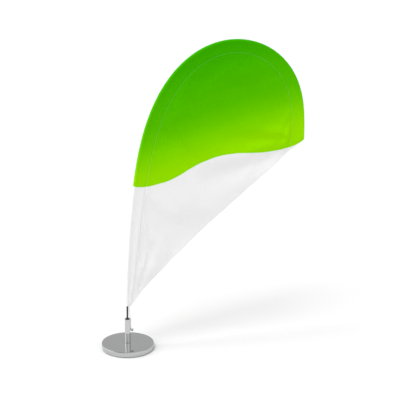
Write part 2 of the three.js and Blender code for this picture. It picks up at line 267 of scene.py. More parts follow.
def roundEnds(line, radius, reach, atStart=True, steps=5):
    # Adds close steps at the ends of a line, with radii that round the tube off there.
    line = np.asarray(line, float)
    walked = lengthsOf(line)
    turn = np.linspace(0, math.pi / 2, steps + 1)
    close = reach * (1 - np.cos(turn))
    near = close if atStart else np.zeros(1)
    far = walked[-1] - close[::-1]
    inside = walked[(walked > near[-1] + 1e-6) & (walked < far[0] - 1e-6)]
    at = np.concatenate([near, inside, far])
    radii = np.full(len(at), float(radius))
    if atStart:
        radii[:steps + 1] = radius - reach + reach * np.sin(turn)
    radii[-steps - 1:] = radius - reach + reach * np.sin(turn[::-1])
    return atLength(line, at), np.maximum(radii, thinnest)


def newFinish(name, **values):
    finish = bpy.data.materials.new(name)
    finish.use_nodes = True
    tree = finish.node_tree
    shader = tree.nodes["Principled BSDF"]
    for socket, value in values.items():
        shader.inputs[socket.replace("_", " ")].default_value = value
    return finish, tree, shader


def feed(tree, socket, value):
    if isinstance(value, bpy.types.NodeSocket):
        tree.links.new(value, socket)
    else:
        socket.default_value = value


def addNode(tree, kind, settings=None, **inputs):
    node = tree.nodes.new(kind)
    for name, value in (settings or {}).items():
        setattr(node, name, value)
    for name, value in inputs.items():
        feed(tree, node.inputs[name.replace("_", " ")], value)
    return node


def calc(tree, operation, *values):
    node = addNode(tree, "ShaderNodeMath", {"operation": operation})
    for socket, value in zip(node.inputs, values):
        feed(tree, socket, value)
    return node.outputs[0]


def mixColours(tree, share, first, second, how="MIX"):
    # This node's sockets 6 and 7 take its two colours, and 2 gives the result.
    node = addNode(tree, "ShaderNodeMix", {"data_type": "RGBA", "blend_type": how}, Factor=share)
    feed(tree, node.inputs[6], first)
    feed(tree, node.inputs[7], second)
    return node.outputs[2]


def ramp(tree, value, stops, between="LINEAR"):
    # The stops are (value, colour), from a value of 0 to a value of 1.
    node = addNode(tree, "ShaderNodeValToRGB")
    node.color_ramp.interpolation = between
    elements = node.color_ramp.elements
    for at, colour in stops[1:-1]:
        elements.new(at).color = colour
    elements[0].color = stops[0][1]
    elements[-1].color = stops[-1][1]
    tree.links.new(value, node.inputs[0])
    return node.outputs[0]


def place(tree, scale=(1, 1, 1)):
    # Where a point lies on the object, stretched by scale, in metres.
    where = addNode(tree, "ShaderNodeTexCoord").outputs["Object"]
    return addNode(tree, "ShaderNodeMapping", Vector=where, Scale=scale).outputs[0]


def noise(tree, size, detail=3, roughness=0.5, scale=(1, 1, 1)):
    # size is the width of its patches in millimetres.
    node = addNode(tree, "ShaderNodeTexNoise", Vector=place(tree, scale), Scale=1 / (size * mm),
                   Detail=detail, Roughness=roughness)
    return node.outputs[0]


def stretch(tree, value, fromLow, fromHigh, toLow, toHigh):
    node = addNode(tree, "ShaderNodeMapRange", Value=value, From_Min=fromLow, From_Max=fromHigh, To_Min=toLow,
                   To_Max=toHigh)
    return node.outputs[0]


def relief(tree, shader, height, depth, strength, under=None):
    # depth is how high the bumps stand, in millimetres.
    node = addNode(tree, "ShaderNodeBump", Height=height, Distance=depth * mm, Strength=strength)
    if under is not None:
        tree.links.new(under, node.inputs["Normal"])
    tree.links.new(node.outputs[0], shader.inputs["Normal"])
    return node.outputs[0]


def ink(code):
    # A colour by its hex code, as the shaders take it.
    values = [int(code[k:k + 2], 16) / 255 for k in (0, 2, 4)]
    return [v / 12.92 if v < 0.04045 else ((v + 0.055) / 1.055) ** 2.4 for v in values] + [1]


def roughen(tree, shader, value, low, high, look):
    # From the look's smoothest to its roughest, as the value goes from low to high.
    tree.links.new(stretch(tree, value, low, high, *look["roughness"]), shader.inputs["Roughness"])


# In each look, a name and the same name with Depth are the width and the height of one kind of bump.
chromeLook = {"colour": (0.51, 0.514, 0.516, 1), "roughness": (0.045, 0.12), "smudge": 16, "hair": 0.5,
              "hairDepth": 0.002, "peel": 3.2, "peelDepth": 0.004, "wave": 11, "waveDepth": 0.05}


def chrome(name, look, scratchAlong=(1, 1, 0.05)):
    finish, tree, shader = newFinish(name, Base_Color=look["colour"], Metallic=1)
    hairs = noise(tree, look["hair"], 2, 0.7, scratchAlong)
    smudged = stretch(tree, noise(tree, look["smudge"], 4, 0.6), 0.42, 0.72, 0, 1)
    scratched = stretch(tree, hairs, 0.62, 0.8, 0, 0.35)
    dulled = calc(tree, "ADD", smudged, scratched)
    roughen(tree, shader, dulled, 0, 1, look)
    waves = relief(tree, shader, noise(tree, look["wave"], 1), look["waveDepth"], 1)
    peel = relief(tree, shader, noise(tree, look["peel"], 2), look["peelDepth"], 0.5, under=waves)
    relief(tree, shader, hairs, look["hairDepth"], 0.25, under=peel)
    return finish


steelLook = {"colour": (0.34, 0.335, 0.33, 1), "metal": 1, "roughness": (0.26, 0.42), "mark": 0.25,
             "markDepth": 0.008, "coarse": 0.6}
nylonLook = {"colour": ink("E4E1D6"), "metal": 0, "roughness": (0.4, 0.6), "mark": 0.4, "markDepth": 0.02,
             "coarse": 0.5}


def machined(name, look):
    finish, tree, shader = newFinish(name, Base_Color=look["colour"], Metallic=look["metal"])
    marks = noise(tree, look["mark"], 3, look["coarse"])
    roughen(tree, shader, marks, 0.3, 0.7, look)
    relief(tree, shader, marks, look["markDepth"], 0.5)
    return finish


plasticLook = {"colour": "35373A", "paler": "55575A", "wear": 2.6, "roughness": (0.36, 0.55), "grain": 0.35,
               "grainDepth": 0.02}


def twoColours(tree, shader, share, look):
    colour = mixColours(tree, share, ink(look["colour"]), ink(look["paler"]))
    tree.links.new(colour, shader.inputs["Base Color"])


def plastic(name, look):
    finish, tree, shader = newFinish(name)
    rubbed = stretch(tree, noise(tree, look["wear"], 3), 0.5, 0.75, 0, 1)
    twoColours(tree, shader, rubbed, look)
    roughen(tree, shader, rubbed, 0, 1, look)
    relief(tree, shader, noise(tree, look["grain"], 4, 0.6), look["grainDepth"], 0.5)
    return finish


rodLook = {"colour": "232427", "paler": "3A3B3E", "roughness": (0.34, 0.5), "patch": 14, "fibre": 0.35,
           "fibreDepth": 0.02}


def fibreglass(name, look):
    finish, tree, shader = newFinish(name, IOR=1.5, Specular_IOR_Level=0.35)
    fibres = noise(tree, look["fibre"], 4, 0.65, (1, 1, 0.12))
    streaks = stretch(tree, fibres, 0.35, 0.7, 0, 1)
    twoColours(tree, shader, streaks, look)
    roughen(tree, shader, noise(tree, look["patch"], 3), 0.35, 0.7, look)
    relief(tree, shader, fibres, look["fibreDepth"], 0.5)
    return finish


foamLook = {"colour": "1B1B1D", "paler": "303032", "dust": 6, "roughness": 0.93, "cell": 0.45,
            "cellDepth": 0.12}


def foamRubber(name, look):
    finish, tree, shader = newFinish(name, Roughness=look["roughness"])
    twoColours(tree, shader, stretch(tree, noise(tree, look["dust"], 4), 0.4, 0.7, 0, 1), look)
    cells = addNode(tree, "ShaderNodeTexVoronoi", Vector=place(tree), Scale=1 / (look["cell"] * mm))
    relief(tree, shader, cells.outputs["Distance"], look["cellDepth"], 0.8)
    return finish


# The green runs from deep at the top to lime at the print's wavy lower border.
clothLook = {
    "roughness": 0.82,
    "thread": 0.28,  # pitch of the weave
    "threadDepth": 0.05,
    "crease": 9,
    "creaseDepth": 0.12,
    "ply": 0.16,  # twist of the sewing thread
    "plyDepth": 0.04,
    "slub": 0.5,
    "slubThin": 0.06,  # its width, as a share of its length
    "slubShade": 0.05,  # how much the yarns differ in colour
    "white": "E7E7E7",
    "bleached": "FAFAF4",
    # Colours by their height on the rod's side.
    "inks": [(228, "8DD600"), (245, "89D300"), (257, "80CF00"), (281, "6AC400"), (305, "55B800"),
             (329, "4BB200"), (353, "43AE00"), (377, "39A800"), (425, "32A300")],
    "fall": 0.225,  # how fast the colours climb away from the rod
    "border": [(-8, 248), (8, 241.3), (28, 237.2), (50, 239.4), (72, 246.3), (94, 256), (116, 265.2),
               (138, 270.8), (160, 272), (185, 270.3), (212, 268.7), (238, 271), (256, 276), (268, 282.6)],
    "borderBlur": 0.35,
    "bleed": 0.5,
    "bleedDepth": 0.5,  # raggedness of the border
}


def weave(tree, pitch):
    # Plain weave: warp and weft yarns cross over and under each other.
    where = addNode(tree, "ShaderNodeSeparateXYZ", Vector=place(tree))
    waves = [calc(tree, "SINE", calc(tree, "MULTIPLY", where.outputs[axis], math.pi / (pitch * mm)))
             for axis in ("X", "Z")]
    over = calc(tree, "GREATER_THAN", calc(tree, "MULTIPLY", *waves), 0)
    warp, weft = (calc(tree, "ABSOLUTE", wave) for wave in waves)
    up = calc(tree, "MULTIPLY", warp, over)
    down = calc(tree, "MULTIPLY", weft, calc(tree, "SUBTRACT", 1, over))
    return calc(tree, "ADD", up, down)


def printColour(tree, look):
    # The green above the border, and white below it.
    where = addNode(tree, "ShaderNodeTexCoord").outputs["Object"]
    across, _, height = addNode(tree, "ShaderNodeSeparateXYZ", Vector=where).outputs
    level = calc(tree, "SUBTRACT", height, calc(tree, "MULTIPLY", across, look["fall"]))
    foot, top = look["inks"][0][0], look["inks"][-1][0]
    stops = [((at - foot) / (top - foot), ink(code)) for at, code in look["inks"]]
    green = ramp(tree, stretch(tree, level, foot * mm, top * mm, 0, 1), stops, "CARDINAL")

    places, heights = zip(*look["border"])
    low, high, least, most = places[0], places[-1], min(heights), max(heights)
    spots = [((x - low) / (high - low), (z - least) / (most - least)) for x, z in look["border"]]
    curve = addNode(tree, "ShaderNodeFloatCurve", Value=stretch(tree, across, low * mm, high * mm, 0, 1))
    line = curve.mapping.curves[0]
    for spot in spots[1:-1]:
        line.points.new(*spot)
    line.points[0].location = spots[0]
    line.points[-1].location = spots[-1]
    curve.mapping.update()
    borderHeight = stretch(tree, curve.outputs[0], 0, 1, least * mm, most * mm)
    ragged = calc(tree, "SUBTRACT", noise(tree, look["bleed"], 2), 0.5)
    bleed = calc(tree, "MULTIPLY", ragged, look["bleedDepth"] * mm)
    over = calc(tree, "ADD", calc(tree, "SUBTRACT", height, borderHeight), bleed)
    blur = look["borderBlur"] * mm
    return mixColours(tree, stretch(tree, over, -blur, blur, 0, 1), ink(look["white"]), green)


def printedCloth(name, look, lighter=0.0, yarns=True):
    finish, tree, shader = newFinish(name, Roughness=look["roughness"], Specular_IOR_Level=0.0)
    thin = look["slubThin"]
    slubs = [noise(tree, look["slub"], 2, 0.5, way) for way in ((thin, 1, 1), (1, 1, thin))]
    value = stretch(tree, calc(tree, "ADD", *slubs), 0.6, 1.4, 1 - look["slubShade"], 1)
    shade = addNode(tree, "ShaderNodeCombineColor", Red=value, Green=value, Blue=value)
    colour = mixColours(tree, 1, printColour(tree, look), shade.outputs[0], "MULTIPLY")
    if lighter:
        colour = mixColours(tree, lighter, colour, ink(look["bleached"]))
    tree.links.new(colour, shader.inputs["Base Color"])
    if yarns:
        creases = relief(tree, shader, noise(tree, look["crease"], 3), look["creaseDepth"], 0.35)
        relief(tree, shader, weave(tree, look["thread"]), look["threadDepth"], 0.6, under=creases)
    else:
        relief(tree, shader, noise(tree, look["ply"], 2), look["plyDepth"], 0.6)
    return finish


elasticLook = {"colour": "F5F5F2", "roughness": 0.62, "yarn": 0.09, "yarnDepth": 0.03}


def elasticYarn(name, look):
    finish, tree, shader = newFinish(name, Base_Color=ink(look["colour"]), Roughness=look["roughness"],
                                     Specular_IOR_Level=0.3)
    relief(tree, shader, noise(tree, look["yarn"], 2), look["yarnDepth"], 0.6)
    return finish


chromeFinish = chrome("disc_chrome", chromeLook, (1, 1, 1))
tubeFinish = chrome("tube_chrome", {**chromeLook, "colour": (0.57, 0.574, 0.576, 1)})
steelFinish = machined("zinc_steel", steelLook)
hookFinish = machined("hook_wire", {**steelLook, "colour": (0.13, 0.13, 0.134, 1)})
bushFinish = plastic("bush_plastic", plasticLook)
capFinish = plastic("cap_rubber", {**plasticLook, "colour": "1E1E20", "roughness": (0.6, 0.8)})
rodFinish = fibreglass("rod_fibreglass", rodLook)
padFinish = foamRubber("pad_foam", foamLook)
nylonFinish = machined("washer_nylon", nylonLook)
clothFinish = printedCloth("printed_polyester", clothLook)
threadFinish = printedCloth("sewing_thread", clothLook, lighter=0.1, yarns=False)
elasticFinish = elasticYarn("elastic_cord", elasticLook)
print("finishes made")

# The elastic is the one cord. It runs from the flag's tail down one side of the hook, round under it
# and up again.
elastic = {
    "diameter": 1.0,
    "side": [(2.22, 0.55, 70.0), (2.39, 0.55, 64.5), (4.5, 1.15, 45.6), (4.7, 1.25, 42.5), (4.7, 1.25, 36),
             (4.7, 1.25, 29), (4.7, 1.25, 28), (4.7, 0.875, 27.1)],
    "bottom": (4.7, 0, 26.75),
    "stretchFrom": 30,  # height above the hook where it starts to follow the flag
    "braid": 0.07,
    "strands": 6,
    "pitch": 3.2,  # length of one turn of a strand
    "spacing": 0.14,
    "sides": 20,
}


def tensionElastic(e):
    other = [(x, -y, z) for x, y, z in e["side"]][::-1]
    line = smoothLine([*e["side"], e["bottom"], *other], e["spacing"])
    step = np.linalg.norm(line[1] - line[0])

    def braid(ring, angle):
        wind = 2 * math.pi * ring * step / e["pitch"]
        half = e["strands"] / 2
        left = np.sin(half * (angle + wind))
        right = np.sin(half * (angle - wind))
        return 1 - e["braid"] + e["braid"] * np.maximum(np.abs(left), np.abs(right))

    points, faces = sweptMesh(line, e["diameter"] / 2, e["sides"], swell=braid)
    piece = newPiece("elastic_cord", points, faces, elasticFinish, node="tension_elastic")
    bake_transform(piece)


tensionElastic(elastic)

disc = {"edge": 0.8, "fine": 0.2, "sides": 160, "counterbore": 6.5, "web": 5.6, "hole": 2.2, "padGap": 0.3,
        "seam": 1}  # the outline closes on itself this far down the hole


def baseDisc(d):
    low, high = nodeBox("base_disc")
    padHigh = nodeBox("base_pad")[1]
    recess = padHigh[0] + d["padGap"]
    outline = roundedOutline([
        (d["hole"], high[2] - d["seam"]), (d["hole"], d["web"]),
        (d["counterbore"], d["web"]), (d["counterbore"], padHigh[2], d["fine"]),
        (recess, padHigh[2]), (recess, low[2], d["fine"]),
        (high[0], low[2], d["edge"]), (high[0], high[2], d["edge"]),
        (d["hole"], high[2], d["fine"]), (d["hole"], high[2] - d["seam"]),
    ])
    points, faces = turnedMesh(outline[:-1], d["sides"])
    newPiece("chrome_disc", points, faces, chromeFinish, "base", "base_disc", sharp=40)


baseDisc(disc)

pad = {"edge": 0.25, "sides": 96, "rings": 30, "grain": 0.02, "smoothRim": 1, "smoothFoot": 0.5}


def basePad(p):
    # A thin round of foam. Its upper face is a little uneven, inside the rim.
    low, high = nodeBox("base_pad")
    across = np.linspace(0, high[0] - 2 * p["edge"], p["rings"])
    outline = [(r, low[2]) for r in across] + roundedOutline([
        (across[-1], low[2]), (high[0], low[2], p["edge"]),
        (high[0], high[2], p["edge"]), (across[-1], high[2]),
    ])[1:-1] + [(r, high[2]) for r in across[::-1]]
    points, faces = turnedMesh(outline, p["sides"])
    points = np.array(points)
    inRim = np.hypot(points[:, 0], points[:, 1]) < high[0] - p["smoothRim"]
    uneven = inRim & (points[:, 2] > low[2] + p["smoothFoot"])
    points[uneven, 2] -= chance.uniform(0, p["grain"], uneven.sum())
    piece = newPiece("foam_pad", points, faces, padFinish, "base", "base_pad", sharp=50)


basePad(pad)

tube = {"end": 0.3, "fine": 0.1, "bore": 2.85, "boreFloor": 17, "tapped": 2.15, "tappedTop": 15.5,
        "sides": 96, "hookHole": 0.8, "hookHeight": 28, "drilled": (1.5, 6)}
tubeTop = nodeBox("socket_tube")[1][2]


def socketTube(t):
    low, high = nodeBox("socket_tube")
    outline = roundedOutline([
        (0, t["tappedTop"]), (t["tapped"], t["tappedTop"]), (t["tapped"], low[2], t["fine"]),
        (high[0], low[2], t["end"]), (high[0], tubeTop, t["end"]),
        (t["bore"], tubeTop, t["fine"]), (t["bore"], t["boreFloor"]), (0, t["boreFloor"]),
    ])
    points, faces = turnedMesh(outline, t["sides"])
    piece = newPiece("chrome_tube", points, faces, tubeFinish, "socket", "socket_tube")
    points, faces = sweptMesh([(x, 0, t["hookHeight"]) for x in t["drilled"]], t["hookHole"], 32)
    drill = newPiece("drill", points, faces, tubeFinish)
    bore = piece.modifiers.new("hook_hole", "BOOLEAN")
    bore.operation = "DIFFERENCE"
    bore.solver = "EXACT"
    bore.object = drill
    applyModifiers(piece)
    piece.data.set_sharp_from_angle(angle=math.radians(40))
    bpy.data.objects.remove(drill)


socketTube(tube)

bush = {"edge": 0.22, "fine": 0.1, "bore": 1.35, "floor": 1.2, "slack": 0.05, "sides": 72}


def rodBush(b):
    low, high = nodeBox("rod_bush")
    body = tube["bore"] - b["slack"]
    outline = roundedOutline([
        (0, low[2]), (body, low[2], b["edge"]), (body, tubeTop),
        (high[0], tubeTop, b["fine"]), (high[0], high[2], b["edge"]),
        (b["bore"], high[2], b["edge"]), (b["bore"], low[2] + b["floor"]), (0, low[2] + b["floor"]),
    ])
    points, faces = turnedMesh(outline, b["sides"])
    newPiece("plastic_bush", points, faces, bushFinish, "socket", "rod_bush", sharp=40)


rodBush(bush)

hook = {
    "wire": 1.2,
    "route": [(2.95, 0, 28), (4.0, 0, 28), (5.0, 0, 28), (5.67, 0, 27.72), (5.95, 0, 27.05),
              (5.95, 0, 25.85), (6.23, 0, 25.18), (6.9, 0, 24.9), (7.57, 0, 25.18), (7.85, 0, 25.85),
              (7.92, 0, 27.1), (8.0, 0, 28.3)],
    "spacing": 0.2,
    "rounded": 0.3,  # length of each rounded end
    "sides": 24,
}


def cordHook(h):
    line, radii = roundEnds(smoothLine(h["route"], h["spacing"]), h["wire"] / 2, h["rounded"])
    points, faces = sweptMesh(line, radii, h["sides"])
    newPiece("wire_hook", points, faces, hookFinish, "socket", "cord_hook")


cordHook(hook)

bow = {
    "length": 678,
    "turn": 179,  # degrees between the rod's two ends
    "shape": [(0, 8), (0.22, 5), (0.32, 16), (0.43, 37), (0.53, 65), (0.62, 95), (0.78, 96), (0.87, 86),
              (0.94, 37), (1, -22)],  # how sharply it bends along its length
    "rodShort": 14,  # the rod stops this far before the bow's end
    "rod": 2.5,
    "rounded": 0.35,
    "foot": 18.25,
    "spacing": (1.5, 2),  # in the tube and above it
    "sides": 32,
}


def bendBow(b):
    # The bow's line and its lean from upright, at each millimetre from the tube's top.
    share = np.linspace(0, 1, b["length"] + 1)
    sharpness = np.interp(share, *zip(*b["shape"]))
    between = (sharpness[1:] + sharpness[:-1]) / 2
    lean = np.concatenate([[0], np.cumsum(between)])
    lean *= math.radians(b["turn"]) / lean[-1]
    middle = (lean[1:] + lean[:-1]) / 2
    x = np.concatenate([[0], np.cumsum(np.sin(middle))])
    z = tubeTop + np.concatenate([[0], np.cumsum(np.cos(middle))])
    return x, z, lean


bowX, bowZ, bowLean = bendBow(bow)
rodReach = bow["length"] - bow["rodShort"]


def onBow(along, inward=0.0):
    # A point so far along the bow and so far to its inner side.
    along, inward = np.broadcast_arrays(np.asarray(along, float), np.asarray(inward, float))
    steps = np.arange(len(bowX))
    past = along - np.clip(along, 0, steps[-1])
    lean = np.interp(along, steps, bowLean)
    x = np.interp(along, steps, bowX) + past * np.sin(lean) + inward * np.cos(lean)
    z = np.interp(along, steps, bowZ) + past * np.cos(lean) - inward * np.sin(lean)
    return np.stack([x, np.zeros(x.shape), z], axis=-1)


def bentRod(b):
    below = [(0, 0, z) for z in np.arange(b["foot"], tubeTop, b["spacing"][0])]
    line = np.vstack([below, onBow(np.arange(0, rodReach + 1, b["spacing"][1]))])
    line, radii = roundEnds(line, b["rod"] / 2, b["rounded"])
    points, faces = sweptMesh(line, radii, b["sides"])
    newPiece("bent_rod", points, faces, rodFinish, "flag", "rod", sharp=60)


bentRod(bow)

# The cap starts before the rod's end and goes past it. hollow is a share of its length, and rings are
# outside and inside.
cap = {"across": 3.5, "slack": 0.05, "from": 6.5, "past": 1.55, "hollow": 0.81, "rounded": 0.5,
       "rings": (12, 6), "sides": 32}


def rodCap(c):
    # A thin cup over the rod's end: its wall goes in at the mouth and stops past the rod.
    mouth, tip = onBow([rodReach - c["from"], rodReach + c["past"]])
    outside, inside = c["rings"]
    outer, radii = roundEnds(np.linspace(mouth, tip, outside), c["across"] / 2, c["rounded"], atStart=False)
    hollow = np.linspace(mouth, mouth + (tip - mouth) * c["hollow"], inside)
    along = np.concatenate([outer[::-1], hollow])
    radii = np.concatenate([radii[::-1], np.full(inside, bow["rod"] / 2 + c["slack"])])
    angles = 2 * math.pi * np.arange(c["sides"]) / c["sides"]
    side = np.cross(unit(tip - mouth), (0, 1, 0))
    ring = np.cos(angles)[:, None] * np.array((0.0, 1.0, 0.0)) + np.sin(angles)[:, None] * side
    points = (along[:, None] + ring * radii[:, None, None]).reshape(-1, 3)
    points = np.vstack([points, outer[-1], hollow[-1]])
    newPiece("rod_cap", points, tubeFaces(len(along), c["sides"]), capFinish, "flag", "rod_tip_cap",
             sharp=50)


rodCap(cap)
print("base and rod made")

cut = {
    "start": 20,  # of the sleeve's mouth along the bow
    "end": 672,
    "endSlant": 0.62,
    "seam": [(0, 4.6), (0.05, 9.4), (0.1, 12.2), (0.2, 15.6), (0.36, 18.2), (0.52, 18), (0.66, 16),
             (0.9, 15.6), (1, 17)],  # width of the sleeve along its length
    "rise": 2.1,  # of the cloth over the middle of the rod
    "atFold": 0.05,  # of the cloth at the sleeve's outer edge
    "flat": 0.27,  # of each cloth from the flag's middle plane
    "cloth": 0.34,
    "edgeOut": 2.2,  # of the sleeve's outer edge from the rod's middle
    # The sleeve's height from the rod to its seam: it puffs out low down, and lies close over the bend.
    "puffedLow": (1, 0.66, 0.36, 0.3, 0.46, 0.72, 0.88, 0.74, 0.05),
    "closeHigh": (1, 0.8, 0.58, 0.4, 0.26, 0.16, 0.08, 0.03, 0),
    "puffTo": (0.1, 0.36),  # share of the sleeve's length over which the puff fades
    "mouth": 35,  # length of the sleeve that its open mouth holds apart
    "mouthTop": (0.65, 0.94),  # share of its width where it starts to fall, and where it is down
    "endTaper": 4.2,
    "endShut": 0.3,
    "tailWidth": 1,
    "hollow": (0.294, 20, 0.064, 5),  # of the free edge, near the tail and near the corner
    "edgeShort": 1.5,
    "hemWidth": 4.9,
    "hemFold": 0.26,  # extra thickness
    "hemStep": 0.5,  # width over which the thickness changes
    "hemFull": 12,  # width of cloth from which the hem has its full width
    "hemLeast": 0.2,
    "rim": 0.4,  # rounding of the cloth's edge
    "stitchIn": 4,  # of the hem's stitches
    "edgeSteps": 600,
    "rows": 250,
    "inside": 58,  # columns between the seam and the hem
    "bare": 2,  # least width that they have between them
}
# The rows are closer at the sleeve's end, and the columns at the rod, the seam and the hem.
lastRows = np.array([6.8, 5.4, 4.4, 3.5, 2.6, 1.7, 0.9, 0.3, 0])
overRod = np.linspace(math.pi / 2, 0, 10)
inPocket = np.linspace(0, 1, 16)[1:]
pastSeam = np.array([0.4, 0.8, 1.4, 2.2, 3.2, 4.4, 6.0])
atHem = np.array([5.6, 5.15, 4.9, 4.6, 4.0, 3.3, 2.4, 1.6, 0.9, 0.45, 0.2, 0.06, 0])


def shareOf(station):
    return (station - cut["start"]) / (cut["end"] - cut["start"])


def seamAt(station):
    return np.interp(shareOf(station), *zip(*cut["seam"]))


def slanted(station, inward):
    # The sleeve's end slants, so lines further in run on further.
    return cut["start"] + (cut["end"] + cut["endSlant"] * inward - cut["start"]) * shareOf(station)


def freeEdge(c):
    tail = onBow(c["start"], seamAt(c["start"]) + c["tailWidth"])
    corner = onBow(c["end"] - c["endSlant"] * c["edgeOut"], -c["edgeOut"])
    chord = corner - tail
    inside = unit(np.array((-chord[2], 0, chord[0])))
    nearTail = tail + chord * c["hollow"][0] + inside * c["hollow"][1]
    nearCorner = corner - chord * c["hollow"][2] + inside * c["hollow"][3]
    t = np.linspace(0, 1, c["edgeSteps"])[:, None]
    return ((1 - t) ** 3 * tail + 3 * t * (1 - t) ** 2 * nearTail + 3 * t * t * (1 - t) * nearCorner
            + t ** 3 * corner)


def flagRows(c):
    # Where each row of the cloth stands on the bow, and where it meets the seam and the free edge.
    even = np.linspace(c["start"], c["end"] - 2 * c["endTaper"], c["rows"])
    stations = np.concatenate([even, c["end"] - lastRows])
    seamLine = onBow(slanted(stations, seamAt(stations)), seamAt(stations))
    edge = freeEdge(c)
    reach = lengthsOf(edge)[-1] - np.linalg.norm(seamLine[-1] - edge[-1]) - c["edgeShort"]
    return stations, seamLine, atLength(edge, reach * shareOf(stations))


stations, seamLine, edgeLine = flagRows(cut)
clothWidth = np.linalg.norm(edgeLine - seamLine, axis=1)[:, None]

# Folds that the pull of the corner, the tail and the sleeve leave in the cloth: where each runs
# from and to in the flag's plane, how wide it is, and how far it stands forward or back.
folds = [
    ((264, 275), (92, 231), 15, -2.5),
    ((258, 286), (130, 264), 13, 2.4),
    ((246, 262), (84, 202), 26, 1.6),
    ((232, 246), (76, 170), 28, 1.8),
    ((252, 284), (176, 291), 8, -2.0),
    ((253, 290), (160, 308), 12, 2.4),
    ((10, 74), (31, 146), 5, 1.6),
    ((18, 86), (60, 172), 11, 0.8),
    ((13, 78), (44, 160), 6, -1.7),
    ((30, 330), (120, 372), 24, 1.6),
    ((60, 180), (120, 262), 26, 1.2),
]
# Each fold starts narrow, widens as it runs on, and fades in and out, by shares of its length.
foldRun = {"narrow": 0.55, "widens": 0.75, "widest": 1.3, "rises": 5, "begun": 0.2, "ends": 1.25,
           "fades": 1.6}


def foldField(x, z, f):
    rise = np.zeros_like(x)
    for (fromX, fromZ), (toX, toZ), width, height in folds:
        length = math.hypot(toX - fromX, toZ - fromZ)
        wayX, wayZ = (toX - fromX) / length, (toZ - fromZ) / length
        along = ((x - fromX) * wayX + (z - fromZ) * wayZ) / length
        across = (x - fromX) * wayZ - (z - fromZ) * wayX
        spread = width * (f["narrow"] + f["widens"] * np.clip(along, 0, f["widest"]))
        begins = np.clip(along * f["rises"] + f["begun"], 0, 1)
        ends = np.clip((f["ends"] - along) * f["fades"], 0, 1)
        rise += height * begins * ends * np.exp(-(across / spread) ** 2)
    return rise


settling = {
    "grid": (124, 44),
    "frames": 18,
    "gravity": 0.03,  # more of it flattens the folds
    "fabric": {"quality": 8, "mass": 0.05, "tension_stiffness": 30, "compression_stiffness": 30,
               "shear_stiffness": 12, "bending_stiffness": 0.3, "tension_damping": 8, "air_damping": 4,
               "shrink_min": -0.004},  # cut this much fuller than the space, so folds stay in it
    "wander": 0.4,  # unevenness that the cloth starts with
    "wanderGrid": (16, 8),
    "taut": 25,  # distance from the seam where it is free of the sleeve's pull
    "billow": 2.0,  # most that settling may move it out of its plane
    "drift": 0.5,  # and in it
    "roomy": 70,  # width from which the cloth moves freely
    "nearSeam": 10,
}


def simulateCloth(points, pinned, s):
    # The flag hangs from its pinned points.
    piece = newObject("cloth_try", points.reshape(-1, 3), gridFaces(*points.shape[:2]))
    held = piece.vertex_groups.new(name="held")
    held.add([int(k) for k in np.flatnonzero(pinned.ravel())], 1.0, "REPLACE")
    cloth = piece.modifiers.new("cloth", "CLOTH")
    for name, value in s["fabric"].items():
        setattr(cloth.settings, name, value)
    cloth.settings.vertex_group_mass = "held"
    cloth.settings.effector_weights.gravity = s["gravity"]
    cloth.point_cache.frame_start = 1
    cloth.point_cache.frame_end = s["frames"]
    for step in range(1, s["frames"] + 1):
        bpy.context.scene.frame_set(step)
    applyModifiers(piece)
    settled = np.zeros(points.size)
    piece.data.vertices.foreach_get("co", settled)
    bpy.data.objects.remove(piece)
    bpy.context.scene.frame_set(1)
    return settled.reshape(points.shape) / mm


def clothShift(s):
    # How far each point of the cloth has moved, on an even grid from the seam to the free edge.
    picked = np.linspace(0, len(stations) - 1, s["grid"][0])
    seam = cubicAt(seamLine, picked, 0)
    edge = cubicAt(edgeLine, picked, 0)
    share = np.linspace(0, 1, s["grid"][1])
    flat = seam[:, None] * (1 - share)[None, :, None] + edge[:, None] * share[None, :, None]
    near = np.linalg.norm(flat - seam[:, None], axis=-1)
    taut = np.clip(near / s["taut"], 0, 1)
    wander = chance.normal(0, 1, s["wanderGrid"])
    for axis, count in enumerate(near.shape):
        wander = cubicAt(wander, np.linspace(0, s["wanderGrid"][axis] - 1, count), axis)
    start = flat.copy()
    start[:, :, 1] = s["wander"] * wander * taut
    moved = start - flat
    pinned = np.zeros(near.shape, bool)
    pinned[:, 0] = pinned[0] = pinned[-1] = True
    moved = simulateCloth(start, pinned, s) - flat
    print("cloth moved", np.abs(moved).max(axis=(0, 1)).round(2))
    # Where the cloth is narrow, and close to its seam, there is less room for it to move.
    room = np.clip(near[:, -1:] / s["roomy"], 0, 1) * np.clip(near / s["nearSeam"], 0, 1)
    limits = np.array([s["drift"], s["billow"], s["drift"]])
    moved = limits * np.tanh(moved / limits) * room[:, :, None]
    moved[:, :, 1] -= foldField(flat[:, :, 0], flat[:, :, 2], foldRun) * taut
    return moved, picked


